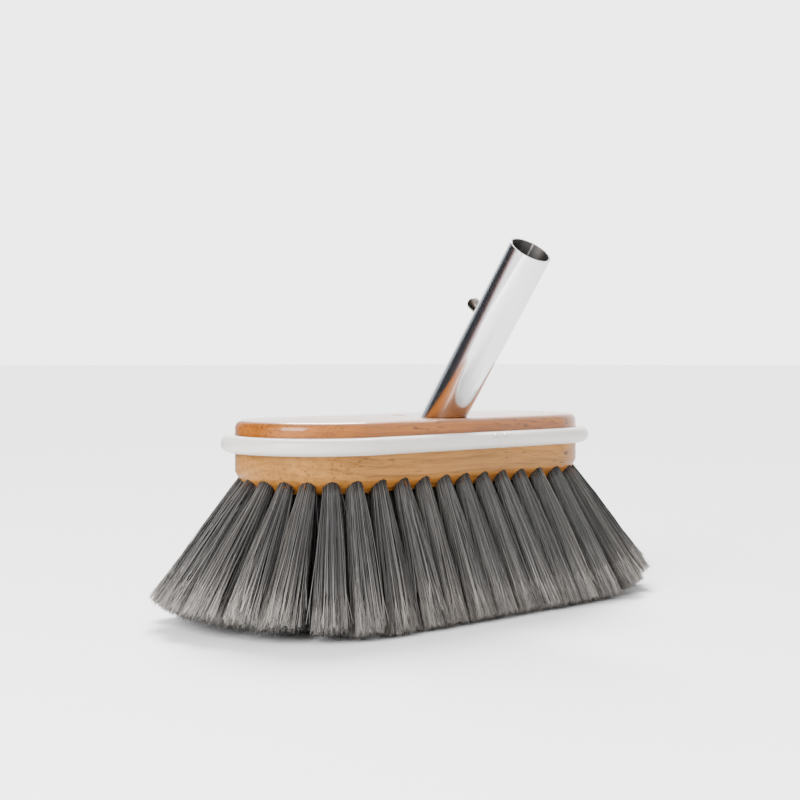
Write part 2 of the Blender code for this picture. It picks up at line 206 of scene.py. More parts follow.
def worked_copy(node, name, body, angle=35.0, edge=0.0):
    """Copy of a CAD node with its triangles merged, its round faces smooth and,
    with an edge width, its sharp edges eased."""
    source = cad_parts[node]
    only(source)
    bpy.ops.object.duplicate()
    made = bpy.context.view_layer.objects.active
    made.name = name
    made.data.name = name
    made.parent = None
    for key in [k for k in made.keys() if k.startswith("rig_")]:
        del made[key]
    bpy.ops.object.mode_set(mode="EDIT")
    bpy.ops.mesh.select_all(action="SELECT")
    bpy.ops.mesh.remove_doubles(threshold=1e-6)
    bpy.ops.mesh.customdata_custom_splitnormals_clear()
    bpy.ops.mesh.dissolve_limited(angle_limit=math.radians(0.2))
    bpy.ops.object.mode_set(mode="OBJECT")
    if edge:
        soft = made.modifiers.new("Eased edges", "BEVEL")
        soft.width = edge
        soft.segments = 2
        soft.limit_method = "ANGLE"
        soft.angle_limit = math.radians(40)
        soft.use_clamp_overlap = True
        bpy.ops.object.modifier_apply(modifier=soft.name)
    bpy.ops.object.shade_smooth_by_angle(angle=math.radians(angle))
    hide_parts(node)
    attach(made, body)
    return made


def dress(obj, *looks):
    obj.data.materials.clear()
    for look in looks:
        obj.data.materials.append(look)


# ---------------------------------------------------------------- node helpers

class Nodes:
    """Short hand for laying out one node tree."""

    def __init__(self, tree):
        self.tree = tree

    def add(self, kind, **settings):
        node = self.tree.nodes.new(kind)
        for key, value in settings.items():
            setattr(node, key, value)
        return node

    def join(self, source, target):
        self.tree.links.new(source, target)

    def maths(self, operation, a, b=None, clamp=False):
        node = self.add("ShaderNodeMath", operation=operation, use_clamp=clamp)
        for socket, value in zip(node.inputs, (a, b)):
            self.feed(socket, value)
        return node.outputs[0]

    def vector(self, operation, a, b=None):
        node = self.add("ShaderNodeVectorMath", operation=operation)
        for socket, value in zip(node.inputs, (a, b)):
            self.feed(socket, value)
        return node

    def feed(self, socket, value):
        if value is None:
            return
        if isinstance(value, bpy.types.NodeSocket):
            self.join(value, socket)
        else:
            socket.default_value = value

    def noise(self, vector, scale, detail=2.0, rough=0.5, distortion=0.0):
        node = self.add("ShaderNodeTexNoise")
        self.feed(node.inputs["Vector"], vector)
        node.inputs["Scale"].default_value = scale
        node.inputs["Detail"].default_value = detail
        node.inputs["Roughness"].default_value = rough
        node.inputs["Distortion"].default_value = distortion
        return node

    def stretch(self, vector, scale, offset=(0, 0, 0)):
        node = self.add("ShaderNodeMapping")
        self.join(vector, node.inputs["Vector"])
        node.inputs["Scale"].default_value = scale
        node.inputs["Location"].default_value = offset
        return node.outputs[0]

    def ramp(self, factor, stops):
        node = self.add("ShaderNodeValToRGB")
        self.join(factor, node.inputs[0])
        elements = node.color_ramp.elements
        while len(elements) < len(stops):
            elements.new(0.5)
        for element, (place, value) in zip(elements, stops):
            element.position = place
            element.color = (value, value, value, 1.0) if isinstance(value, float) \
                else (*value, 1.0)
        return node.outputs[0]

    def blend(self, factor, a, b, kind="MIX"):
        node = self.add("ShaderNodeMix", data_type="RGBA", blend_type=kind,
                        clamp_factor=True)
        self.feed(node.inputs[0], factor)
        for socket, value in ((node.inputs[6], a), (node.inputs[7], b)):
            if isinstance(value, tuple) and len(value) == 3:
                value = (*value, 1.0)
            self.feed(socket, value)
        return node.outputs[2]

    def span(self, value, low, high, to_low=0.0, to_high=1.0):
        node = self.add("ShaderNodeMapRange", clamp=True)
        self.join(value, node.inputs[0])
        for i, number in enumerate((low, high, to_low, to_high)):
            node.inputs[i + 1].default_value = number
        return node.outputs[0]

    def bump(self, height, strength, distance, normal=None):
        node = self.add("ShaderNodeBump")
        self.join(height, node.inputs["Height"])
        node.inputs["Strength"].default_value = strength
        node.inputs["Distance"].default_value = distance
        if normal is not None:
            self.join(normal, node.inputs["Normal"])
        return node.outputs[0]

    def place(self):
        return self.add("ShaderNodeTexCoord").outputs["Object"]


def new_group(name, inputs, outputs):
    """Empty shader node group with the given sockets; returns it with its ends."""
    tree = bpy.data.node_groups.new(name, "ShaderNodeTree")
    for label, kind, default in inputs:
        socket = tree.interface.new_socket(name=label, in_out="INPUT", socket_type=kind)
        if default is not None:
            socket.default_value = default
    for label, kind in outputs:
        tree.interface.new_socket(name=label, in_out="OUTPUT", socket_type=kind)
    nodes = Nodes(tree)
    return tree, nodes, nodes.add("NodeGroupInput"), nodes.add("NodeGroupOutput")


def new_material(name):
    """Material with its Principled shader, ready for nodes."""
    made = bpy.data.materials.new(name)
    made.use_nodes = True
    nodes = Nodes(made.node_tree)
    return made, nodes, made.node_tree.nodes["Principled BSDF"]


def use_group(nodes, tree, **values):
    node = nodes.add("ShaderNodeGroup", node_tree=tree)
    for key, value in values.items():
        nodes.feed(node.inputs[key.replace("_", " ")], value)
    return node


# ---------------------------------------------------------------- shared effects

def handling_marks():
    """Faint scratches, smudges and dust, for every hard finish."""
    name = "Handling Marks"
    if name in bpy.data.node_groups:
        return bpy.data.node_groups[name]
    tree, n, start, end = new_group(
        name,
        (("Vector", "NodeSocketVector", None), ("Scratch Scale", "NodeSocketFloat", 900.0),
         ("Smudge Scale", "NodeSocketFloat", 45.0)),
        (("Scratches", "NodeSocketFloat"), ("Smudges", "NodeSocketFloat"),
         ("Height", "NodeSocketFloat")))
    fine = n.add("ShaderNodeTexNoise")
    n.join(start.outputs["Vector"], fine.inputs["Vector"])
    n.join(start.outputs["Scratch Scale"], fine.inputs["Scale"])
    fine.inputs["Detail"].default_value = 3.0
    wide = n.add("ShaderNodeTexNoise")
    n.join(start.outputs["Vector"], wide.inputs["Vector"])
    n.join(start.outputs["Smudge Scale"], wide.inputs["Scale"])
    wide.inputs["Detail"].default_value = 4.0
    scratches = n.span(fine.outputs[0], 0.58, 0.72)
    smudges = n.span(wide.outputs[0], 0.42, 0.68)
    n.join(scratches, end.inputs["Scratches"])
    n.join(smudges, end.inputs["Smudges"])
    n.join(n.maths("ADD", fine.outputs[0], n.maths("MULTIPLY", scratches, -0.6)),
           end.inputs["Height"])
    return tree


def timber_figure():
    """Growth lines, fibres and pores of a board whose grain runs along X, with one
    small knot on its front."""
    name = "Timber Figure"
    if name in bpy.data.node_groups:
        return bpy.data.node_groups[name]
    tree, n, start, end = new_group(
        name,
        (("Vector", "NodeSocketVector", None), ("Line Spacing", "NodeSocketFloat", 0.0042)),
        (("Lines", "NodeSocketFloat"), ("Fibres", "NodeSocketFloat"),
         ("Pores", "NodeSocketFloat"), ("Patches", "NodeSocketFloat"),
         ("Knot", "NodeSocketFloat"), ("Height", "NodeSocketFloat")))
    here = start.outputs["Vector"]
    split = n.add("ShaderNodeSeparateXYZ")
    n.join(here, split.inputs[0])
    x, y, z = split.outputs

    # a knot pushes the growth lines aside
    to_knot = n.vector("SUBTRACT", here, KNOT).outputs[0]
    far = n.vector("LENGTH", n.stretch(to_knot, (0.62, 1.0, 1.25))).outputs["Value"]
    knot = n.span(far, 0.0008, 0.0024, 1.0, 0.0)
    swirl = n.span(far, 0.0, 0.013, 1.0, 0.0)
    swirl = n.maths("MULTIPLY", swirl, swirl)

    slow = n.noise(n.stretch(here, (1.0, 2.6, 2.6)), 9.0, 2.0).outputs[0]
    wobble = n.noise(n.stretch(here, (1.0, 6.0, 6.0)), 16.0, 3.0).outputs[0]
    across = n.maths("ADD", n.maths("MULTIPLY", y, 0.62), 0.018)
    down = n.maths("ADD", n.maths("MULTIPLY", z, 1.0), 0.035)
    pith = n.maths("SQRT", n.maths("ADD", n.maths("MULTIPLY", across, across),
                                   n.maths("MULTIPLY", down, down)))
    lean = n.maths("MULTIPLY", x, 0.045)
    depth = n.maths("ADD", pith, lean)
    depth = n.maths("ADD", depth, n.maths("MULTIPLY", slow, 0.016))
    depth = n.maths("ADD", depth, n.maths("MULTIPLY", wobble, 0.0035))
    depth = n.maths("ADD", depth, n.maths("MULTIPLY", swirl, 0.0065))
    turns = n.maths("DIVIDE", depth, start.outputs["Line Spacing"])
    saw = n.maths("FRACT", turns)
    lines = n.maths("MULTIPLY", n.maths("POWER", saw, 2.6), n.span(saw, 0.93, 1.0, 1.0, 0.0))

    fibres = n.noise(n.stretch(here, (0.035, 1.0, 1.0)), 1500.0, 3.0, 0.6).outputs[0]
    broad = n.noise(n.stretch(here, (0.05, 1.0, 1.0)), 330.0, 3.0, 0.6).outputs[0]
    pores = n.noise(n.stretch(here, (0.16, 1.0, 1.0)), 720.0, 1.0, 0.4).outputs[0]
    clusters = n.noise(n.stretch(here, (0.35, 1.0, 1.0)), 60.0, 2.0).outputs[0]
    pores = n.maths("MULTIPLY", n.span(pores, 0.60, 0.70), n.span(clusters, 0.40, 0.6))
    patches = n.noise(n.stretch(here, (0.5, 1.0, 1.0)), 22.0, 3.0, 0.55).outputs[0]

    n.join(lines, end.inputs["Lines"])
    n.join(n.maths("ADD", n.maths("MULTIPLY", fibres, 0.5),
                   n.maths("MULTIPLY", broad, 0.5)), end.inputs["Fibres"])
    n.join(pores, end.inputs["Pores"])
    n.join(patches, end.inputs["Patches"])
    n.join(knot, end.inputs["Knot"])
    n.join(n.maths("SUBTRACT", fibres, pores), end.inputs["Height"])
    return tree


# ---------------------------------------------------------------- finishes

def varnished_wood(p):
    """Clear-coated hardwood; the coat lies heavier above the bumper, where a darker amber
    tone is painted in as shade, and the lower bevel is painted darker as shade.
    """
    made, n, shader = new_material("varnished_wood")
    here = n.place()
    figure = use_group(n, timber_figure(), Vector=here)
    split = n.add("ShaderNodeSeparateXYZ")
    n.join(here, split.inputs[0])
    height = split.outputs[2]
    colour = n.blend(n.maths("MULTIPLY", figure.outputs["Lines"], 0.55),
                     tuple(p.wood_light), tuple(p.wood_dark))
    tone = n.ramp(figure.outputs["Patches"],
                  ((0.30, (0.66, 0.58, 0.50)), (0.50, (1.0, 1.0, 1.0)),
                   (0.72, (1.22, 1.16, 1.05))))
    colour = n.blend(0.9, colour, tone, "MULTIPLY")
    streak = n.ramp(figure.outputs["Fibres"],
                    ((0.34, (0.55, 0.46, 0.36)), (0.50, (1.0, 1.0, 1.0)),
                     (0.66, (1.18, 1.14, 1.08))))
    colour = n.blend(0.85, colour, streak, "MULTIPLY")
    colour = n.blend(n.maths("MULTIPLY", figure.outputs["Pores"], 0.7), colour,
                     (0.040, 0.016, 0.006))
    colour = n.blend(n.maths("MULTIPLY", figure.outputs["Knot"], 0.92), colour,
                     (0.035, 0.014, 0.005))
    # painted shade: above the bumper the wood is multiplied by a darker amber tint, in place
    # of shade and reflection
    top_shade_mask = n.span(height, BUMPER_MID, BUMPER_MID + 0.004, 0.0, 0.85)
    colour = n.blend(top_shade_mask, colour, tuple(p.painted_top_shade), "MULTIPLY")
    # painted shade: below the knee the down-facing lower bevel is multiplied darker and
    # browner
    knee = BLOCK_FLOOR + KNEE
    low = n.span(height, knee + 0.002, knee - 0.001, 0.0, 0.5)
    colour = n.blend(low, colour, (0.72, 0.50, 0.26), "MULTIPLY")
    n.join(colour, shader.inputs["Base Color"])
    n.join(n.span(figure.outputs["Fibres"], 0.3, 0.7, 0.38, 0.55),
           shader.inputs["Roughness"])
    n.join(n.span(height, BUMPER_MID, BUMPER_MID + 0.003, 0.12, 0.75),
           shader.inputs["Coat Weight"])
    shader.inputs["Coat Roughness"].default_value = 0.06
    shader.inputs["Coat IOR"].default_value = 1.38
    shader.inputs["Specular IOR Level"].default_value = 0.12
    n.join(n.bump(figure.outputs["Height"], 0.14, 0.0003), shader.inputs["Normal"])
    return made


def bumper_vinyl(p):
    """Soft white vinyl, a little chalky, with scuffs, and a lighter, warmer tint painted on
    its downward faces as bounced light.
    """
    made, n, shader = new_material("white_vinyl")
    here = n.place()
    marks = use_group(n, handling_marks(), Vector=here, Scratch_Scale=700.0,
                      Smudge_Scale=60.0)
    normal = n.add("ShaderNodeNewGeometry").outputs["Normal"]
    split = n.add("ShaderNodeSeparateXYZ")
    n.join(normal, split.inputs[0])
    # painted light: faces turned down get a lighter, warmer tint in place of bounced light
    painted_underside_light = n.span(split.outputs[2], 0.1, -0.9, 0.0, 0.5)
    colour = n.blend(painted_underside_light, tuple(p.vinyl), (0.66, 0.60, 0.53))
    colour = n.blend(n.maths("MULTIPLY", marks.outputs["Smudges"], 0.18), colour,
                     (0.66, 0.62, 0.57))
    colour = n.blend(n.maths("MULTIPLY", marks.outputs["Scratches"], 0.12), colour,
                     (0.52, 0.49, 0.45))
    n.join(colour, shader.inputs["Base Color"])
    n.join(n.span(marks.outputs["Smudges"], 0.0, 1.0, 0.33, 0.50),
           shader.inputs["Roughness"])
    shader.inputs["Subsurface Weight"].default_value = 0.12
    shader.inputs["Subsurface Radius"].default_value = (0.004, 0.003, 0.002)
    shader.inputs["Subsurface Scale"].default_value = 0.5
    n.join(n.bump(marks.outputs["Height"], 0.10, 0.0003), shader.inputs["Normal"])
    return made


def metal(name, colour, low, high, stretch=(1.0, 1.0, 1.0), scratch=900.0, depth=0.08,
          grime=(0.3, 0.27, 0.24), grime_share=0.2):
    """Bare metal with fine marks; roughness runs from low to high in the smudges."""
    made, n, shader = new_material(name)
    marks = use_group(n, handling_marks(), Vector=n.stretch(n.place(), stretch),
                      Scratch_Scale=scratch, Smudge_Scale=60.0)
    shade = n.blend(n.maths("MULTIPLY", marks.outputs["Smudges"], grime_share),
                    tuple(colour), tuple(c * g for c, g in zip(colour, grime)))
    n.join(shade, shader.inputs["Base Color"])
    shader.inputs["Metallic"].default_value = 1.0
    rough = n.span(marks.outputs["Smudges"], 0.0, 1.0, low, high)
    rough = n.maths("ADD", rough, n.maths("MULTIPLY", marks.outputs["Scratches"], 0.06))
    n.join(rough, shader.inputs["Roughness"])
    n.join(n.bump(marks.outputs["Height"], depth, 0.0002), shader.inputs["Normal"])
    return made


def bristle_look(p):
    """Grey filaments that pale towards their flagged ends. The strand attribute
    holds the share of the length, the strand's shade, its lock's shade and how
    far it pales; tips on the inward side and in the inner rows stay dark as painted shade."""
    made, n, shader = new_material("grey_bristle")
    strand = n.add("ShaderNodeAttribute", attribute_name="strand")
    split = n.add("ShaderNodeSeparateColor")
    n.join(strand.outputs["Color"], split.inputs[0])
    along, own, lock = split.outputs
    start = n.maths("ADD", n.maths("MULTIPLY", lock, 0.22), 0.36)
    frayed = n.maths("DIVIDE", n.maths("SUBTRACT", along, start), 0.62, clamp=True)
    frayed = n.maths("POWER", frayed, 2.0)
    # painted shade: where the fourth strand value is low the tips barely pale, in place of
    # the shade on inward tips
    frayed = n.maths("MULTIPLY", frayed,
                     n.span(strand.outputs["Alpha"], 0.0, 1.0, 0.12, 1.0))
    colour = n.blend(frayed, tuple(p.root_colour), tuple(p.tip_colour))
    own_tone = n.ramp(own, ((0.0, (0.42, 0.42, 0.43)), (0.45, (0.85, 0.85, 0.85)),
                            (0.80, (1.35, 1.34, 1.32)), (1.0, (2.3, 2.25, 2.2))))
    colour = n.blend(1.0, colour, own_tone, "MULTIPLY")
    lock_tone = n.ramp(lock, ((0.0, (0.74, 0.75, 0.77)), (0.5, (1.0, 1.0, 1.0)),
                              (1.0, (1.25, 1.21, 1.17))))
    colour = n.blend(1.0, colour, lock_tone, "MULTIPLY")
    n.join(colour, shader.inputs["Base Color"])
    n.join(n.span(own, 0.0, 1.0, 0.36, 0.55), shader.inputs["Roughness"])
    grain = n.noise(n.place(), 2600.0, 1.0).outputs[0]
    n.join(n.bump(grain, 0.08, 0.0001), shader.inputs["Normal"])
    return made


def painted_shade_core():
    """Near-black cone in a bundle's middle, painted shade seen only between the filaments."""
    made, n, shader = new_material("painted_shade_core")
    streaks = n.noise(n.stretch(n.place(), (1.0, 1.0, 0.06)), 1400.0, 2.0).outputs[0]
    n.join(n.blend(streaks, (0.012, 0.011, 0.010), (0.06, 0.056, 0.052)),
           shader.inputs["Base Color"])
    shader.inputs["Roughness"].default_value = 0.8
    n.join(n.bump(streaks, 0.5, 0.0004), shader.inputs["Normal"])
    return made


def polished_tube(p):
    """Bright drawn tube outside; inside rougher and painted near-black as shade, with the
    weld's pale seam.
    """
    made, n, shader = new_material("polished_tube")
    here = n.place()
    local = n.vector("SUBTRACT", here, (0.0, TUBE_Y, BLOCK_TOP)).outputs[0]
    along = n.vector("DOT_PRODUCT", local, tuple(ALONG)).outputs["Value"]
    out = n.vector("DOT_PRODUCT", local, tuple(OUTWARD)).outputs["Value"]
    split = n.add("ShaderNodeSeparateXYZ")
    n.join(local, split.inputs[0])
    across = split.outputs[0]
    reach = n.maths("SQRT", n.maths("ADD", n.maths("MULTIPLY", across, across),
                                    n.maths("MULTIPLY", out, out)))
    middle = TUBE_RADIUS - TUBE_WALL / 2
    inside = n.span(reach, middle - 0.0004, middle, 1.0, 0.0)
    turn = n.maths("ARCTAN2", out, across)
    seam = n.maths("ABSOLUTE", n.maths("SUBTRACT", turn, SEAM_TURN))
    wander = n.noise(n.stretch(here, (30.0, 30.0, 30.0)), 8.0).outputs[0]
    seam = n.maths("ADD", seam, n.maths("MULTIPLY", wander, 0.06))
    weld = n.maths("MULTIPLY", n.span(seam, 0.05, 0.09, 1.0, 0.0), inside)
    rings = n.add("ShaderNodeCombineXYZ")
    n.join(n.maths("MULTIPLY", along, 0.02), rings.inputs[0])
    n.join(turn, rings.inputs[1])
    drawn = n.noise(rings.outputs[0], 260.0, 2.0).outputs[0]
    marks = use_group(n, handling_marks(), Vector=here, Scratch_Scale=1100.0,
                      Smudge_Scale=50.0)
    colour = n.blend(n.maths("MULTIPLY", marks.outputs["Smudges"], 0.25), tuple(p.tube),
                     tuple(c * 0.9 for c in p.tube))
    # painted shade: the inner wall's colour is set near-black in place of the shade inside
    # the tube
    colour = n.blend(inside, colour, (0.055, 0.052, 0.050))
    colour = n.blend(weld, colour, (0.22, 0.215, 0.21))
    n.join(colour, shader.inputs["Base Color"])
    shader.inputs["Metallic"].default_value = 1.0
    rough = n.span(marks.outputs["Smudges"], 0.0, 1.0, 0.09, 0.16)
    rough = n.maths("ADD", rough, n.maths("MULTIPLY", inside, 0.35))
    n.join(rough, shader.inputs["Roughness"])
    height = n.maths("ADD", n.maths("MULTIPLY", drawn, 0.25),
                     n.maths("MULTIPLY", weld, 3.0))
    n.join(n.bump(height, 0.06, 0.0003), shader.inputs["Normal"])
    return made


# ---------------------------------------------------------------- bristles

def spine_point(run, radius):
    """Spine point, outward direction and roundness at a distance along a ring."""
    arc = math.pi * radius
    run %= 4 * STRAIGHT + 2 * arc
    if run < 2 * STRAIGHT:
        return Vector((run - STRAIGHT, 0, 0)), Vector((0, -1, 0)), 0.0
    run -= 2 * STRAIGHT
    if run < arc:
        turn = run / radius
        return (Vector((STRAIGHT, 0, 0)), Vector((math.sin(turn), -math.cos(turn), 0)),
                math.sin(turn))
    run -= arc
    if run < 2 * STRAIGHT:
        return Vector((STRAIGHT - run, 0, 0)), Vector((0, 1, 0)), 0.0
    turn = (run - 2 * STRAIGHT) / radius
    return (Vector((-STRAIGHT, 0, 0)), Vector((-math.sin(turn), math.cos(turn), 0)),
            math.sin(turn))


def side_of(point):
    if abs(point.x) > STRAIGHT:
        return "right" if point.x > 0 else "left"
    return "back" if point.y > 0 else "front"


class Tuft:
    """Where a bundle leaves the wood, where its tip is, and how wide it opens."""

    def __init__(self, root, tip, out, width, spread, tilt=0.0):
        self.root = np.array(root)
        self.tip = np.array(tip)
        self.side = np.array((-out.y, out.x, 0.0))
        self.out = np.array((out.x, out.y, tilt))
        self.width, self.spread = width, spread
        self.level = 1.0 - tilt / RINGS["outer"][5]
        axis = (root - tip).normalized()
        side = Vector(self.side)
        first = (side - axis * side.dot(axis)).normalized()
        self.axis = np.array(axis)
        self.first = np.array(first)
        self.second = -np.array(axis.cross(first))


def outer_run(k, step, count):
    """Distance of one outer hole along the outline."""
    place = k - OUTER_MID
    return (STRAIGHT + step * place + BUNCH * math.sin(4 * math.pi * place / count)
            + DRIFT * math.cos(2 * math.pi * (k - DRIFT_START) / DRIFT_PERIOD))


def ring_tufts(kind):
    """Tufts of one ring as {side: [tufts]}."""
    count, root_r, tip_r, spread, lift, slope, fan = RINGS[kind]
    length = 4 * STRAIGHT + 2 * math.pi * root_r
    step = length / count
    floor = BLOCK_FLOOR
    sweep = Vector((0.0, 0.0, lift))
    reach = 0.0
    runs = [step * (k + 0.5) for k in range(count)]
    if kind == "outer":
        floor += (root_r - BLOCK_RADIUS + BEVEL) * KNEE / (BEVEL - KNEE_IN)
        sweep.x, reach = LEAN, REACH
        runs = [outer_run(k, step, count) for k in range(count)]
    groups = {side: [] for side in SIDES}
    for k, run in enumerate(runs):
        spine, out, roundness = spine_point(run, root_r)
        root = spine + out * root_r + UP * floor
        tip = spine * fan + out * (tip_r + reach * roundness) + sweep * roundness
        before = (run - runs[k - 1]) % length
        after = (runs[(k + 1) % count] - run) % length
        crowd = min(before, after) * (fan + roundness * (tip_r / root_r - fan))
        groups[side_of(root)].append(
            Tuft(root, tip, out, CROWDING * crowd, spread, slope * roundness))
    return groups


def centre_tufts():
    step = 2 * STRAIGHT / (CENTRE_COUNT - 1)
    made = []
    for k in range(CENTRE_COUNT):
        x = step * k - STRAIGHT
        made.append(Tuft(Vector((x, 0, BLOCK_FLOOR)), Vector((x * CENTRE_FAN, 0, 0)),
                         Vector((0, -1, 0)), CROWDING * step, CENTRE_SPREAD))
    return made


def disc(count, rng, jitter=0.35):
    """Evenly scattered points in the unit disc."""
    k = np.arange(count) + 0.5
    radius = np.sqrt(k / count)
    turn = k * 2.399963 + rng.uniform(0, 6.28)
    points = np.stack((radius * np.cos(turn), radius * np.sin(turn)), 1)
    points += rng.normal(0, jitter / math.sqrt(count), points.shape)
    long = np.maximum(1.0, np.linalg.norm(points, axis=1))
    return points / long[:, None]


def rods(paths, radii):
    """Three-sided rods along paths (n, k, 3) with radii (n, k): their points and
    triangles. The last ring closes to a point."""
    count, steps, _ = paths.shape
    run = np.gradient(paths, axis=1)
    run /= np.linalg.norm(run, axis=2, keepdims=True)
    aid = np.where(np.abs(run[..., :1]) < 0.7, (1.0, 0.0, 0.0), (0.0, 1.0, 0.0))
    u = np.cross(run, aid)
    u /= np.linalg.norm(u, axis=2, keepdims=True)
    v = np.cross(run, u)
    turn = np.arange(3) * 2 * math.pi / 3
    ring = (u[:, :, None] * np.cos(turn)[None, None, :, None]
            + v[:, :, None] * np.sin(turn)[None, None, :, None])
    points = paths[:, :, None] + ring * radii[:, :, None, None]
    points = points.reshape(count, steps * 3, 3)
    faces = [(0, 2, 1)]
    for s in range(steps - 1):
        for c in range(3):
            d = (c + 1) % 3
            a, b, e, f = s * 3 + c, s * 3 + d, s * 3 + 3 + d, s * 3 + 3 + c
            faces += [(a, b, e), (a, e, f)]
    top = (steps - 1) * 3
    faces.append((top, top + 1, top + 2))
    faces = np.array(faces)
    triangles = faces[None] + (np.arange(count) * steps * 3)[:, None, None]
    return points.reshape(-1, 3), triangles.reshape(-1, 3)


class Bundle:
    """Gathers rods and their strand values for one mesh."""

    def __init__(self):
        self.points, self.faces, self.values, self.size = [], [], [], 0

    def add(self, paths, radii, along, own, lock, pale):
        points, faces = rods(paths, radii)
        count, steps, _ = paths.shape
        values = np.ones((count, steps, 3, 4), np.float32)
        values[..., 0] = along[:, :, None]
        values[..., 1] = own[:, None, None]
        values[..., 2] = lock[:, None, None]
        values[..., 3] = pale[:, None, None]
        self.points.append(points)
        self.faces.append(faces + self.size)
        self.values.append(values.reshape(-1, 4))
        self.size += len(points)


def grow_tuft(bundle, tuft, strands, radius, rng, frayed):
    """Filaments of one tuft: locks that draw together, a loose few, split ends.
    With split ends the outward side is cut a little shorter and pales more; the inward side's
    tips stay dark as painted shade."""
    wander = rng.normal(0, 0.0019 if frayed > 1 else 0.0006)
    aim = tuft.tip + tuft.side * wander
    start = disc(strands, rng)
    locks = disc(max(9, strands // 11), rng, 0.6)
    lock = np.argmin(((start[:, None] - locks[None]) ** 2).sum(2), 1)
    draw = rng.uniform(0.15, 0.55, len(locks))[lock][:, None]
    splay = locks * rng.normal(1.0, 0.10, (len(locks), 1)) + rng.normal(0, 0.07, locks.shape)
    end = start * (1 - draw) + splay[lock] * draw
    end += rng.normal(0, 0.075, end.shape)
    loose = rng.random(strands) < LOOSE_SHARE
    end[loose] += rng.normal(0, LOOSE_SPREAD, (loose.sum(), 2))
    t = np.array(SPINE_STEPS)
    open_out = t ** 0.88
    centre = (tuft.root + tuft.axis * 0.004)[None] * (1 - t)[:, None] + aim * t[:, None]
    root = (start[:, :1] * tuft.first + start[:, 1:] * tuft.second) * (TUFT_RADIUS * 0.96)
    outward = end[:, 1].copy()
    tip = end[:, :1] * tuft.side * tuft.width * 1.14 + end[:, 1:] * tuft.out * tuft.spread
    paths = centre[None] + root[:, None] * (1 - open_out)[None, :, None] \
        + tip[:, None] * open_out[None, :, None]
    bow = rng.normal(0, 0.0006, (strands, 3))
    bow[loose] *= 3.0
    paths += bow[:, None] * np.sin(math.pi * t)[None, :, None]
    paths[:, 2:5] += rng.normal(0, 0.00022, (strands, 3, 3))
    cut = 1.0 - np.abs(rng.normal(0, 0.013, strands)) - 0.004
    cut[loose] -= rng.uniform(0.0, 0.12, loose.sum())
    if frayed > 1:
        cut -= (0.010 + 0.045 * tuft.level) * np.clip((outward - 0.1) / 0.9, 0, 1) ** 0.7
    paths = paths[:, :1] + (paths - paths[:, :1]) * cut[:, None, None]
    own = rng.random(strands)
    shade = rng.random(len(locks))[lock]
    # painted shade: outward tips of the outer rows pale; inward tips and every inner row keep
    # a low value and stay dark
    pale = np.clip((outward + 0.25) / 0.5, 0, 1) if frayed > 1 else np.zeros(strands)
    sizes = radius * rng.uniform(0.8, 1.25, strands)[:, None] \
        * np.array(TAPER)[None]
    along = np.broadcast_to(t, (strands, len(t)))
    bundle.add(paths, sizes, along, own, shade, pale)
    for _ in range(frayed):
        low = paths[:, 4]
        high = paths[:, 5] + rng.normal(0, 0.0010, (strands, 3))
        mid = (low + high) / 2 + rng.normal(0, 0.0003, (strands, 3))
        hair = np.stack((low, mid, high), 1)
        thin = radius * 0.5 * np.array(SPLIT_TAPER)[None] * np.ones((strands, 1))
        at = np.broadcast_to(np.array(SPLIT_STEPS), (strands, 3))
        bundle.add(hair, thin, at, np.clip(own + 0.15, 0, 1), shade, pale)


def shade_core_of(tuft, steps=10):
    """Closed dark cone inside a bundle, well short of its tips, standing in as painted shade.
    """
    rings = []
    for t, share in SHADE_CORE:
        centre = (tuft.root + tuft.axis * 0.003) * (1 - t) + tuft.tip * t
        a = TUFT_RADIUS * (1 - t) + tuft.width * t
        b = TUFT_RADIUS * (1 - t) + tuft.spread * t
        angles = 2 * math.pi * np.arange(steps) / steps
        rings.append(centre + share * (
            np.cos(angles)[:, None] * a * (tuft.first * (1 - t) + tuft.side * t)
            + np.sin(angles)[:, None] * b * (tuft.second * (1 - t) + tuft.out * t)))
    return np.array(rings)


def add_shade_cores(obj, tufts):
    """Join the bundles' dark painted-shade cones to the filament mesh, in its second
    material.
    """
    bm = bmesh.new()
    bm.from_mesh(obj.data)
    layer = bm.verts.layers.float_color["strand"]
    for tuft in tufts:
        rings = [[bm.verts.new(point) for point in ring] for ring in shade_core_of(tuft)]
        for ring in rings:
            for vert in ring:
                vert[layer] = (0.3, 0.3, 0.5, 1.0)
        made = [bm.faces.new(rings[0]), bm.faces.new(rings[-1])]
        for low, high in zip(rings, rings[1:]):
            for i in range(len(low)):
                j = (i + 1) % len(low)
                made.append(bm.faces.new((low[i], low[j], high[j], high[i])))
        bmesh.ops.recalc_face_normals(bm, faces=made)
        for face in made:
            face.material_index = 1
            face.smooth = True
    bm.to_mesh(obj.data)
    bm.free()


def lay_row(name, node, tufts, strands, radius, seed, frayed, looks):
    """One row of bristle bundles in place of its plain CAD solid."""
    rng = np.random.default_rng(seed)
    bundle = Bundle()
    for tuft in tufts:
        grow_tuft(bundle, tuft, strands, radius, rng, frayed)
    points = np.concatenate(bundle.points)
    points[:, 2] = np.maximum(points[:, 2], FLOOR_CLEAR)
    faces = np.concatenate(bundle.faces)
    mesh = bpy.data.meshes.new(name)
    mesh.vertices.add(len(points))
    mesh.vertices.foreach_set("co", points.astype(np.float32).ravel())
    mesh.loops.add(len(faces) * 3)
    mesh.loops.foreach_set("vertex_index", faces.astype(np.int32).ravel())
    mesh.polygons.add(len(faces))
    mesh.polygons.foreach_set("loop_start", np.arange(len(faces), dtype=np.int32) * 3)
    mesh.update(calc_edges=True)
    values = mesh.attributes.new("strand", "FLOAT_COLOR", "POINT")
    values.data.foreach_set("color", np.concatenate(bundle.values).ravel())
    mesh.shade_smooth()
    obj = bpy.data.objects.new(name, mesh)
    bpy.context.scene.collection.objects.link(obj)
    add_shade_cores(obj, tufts)
    dress(obj, *looks)
    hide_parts(node)
    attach(obj, "brush")
    return obj


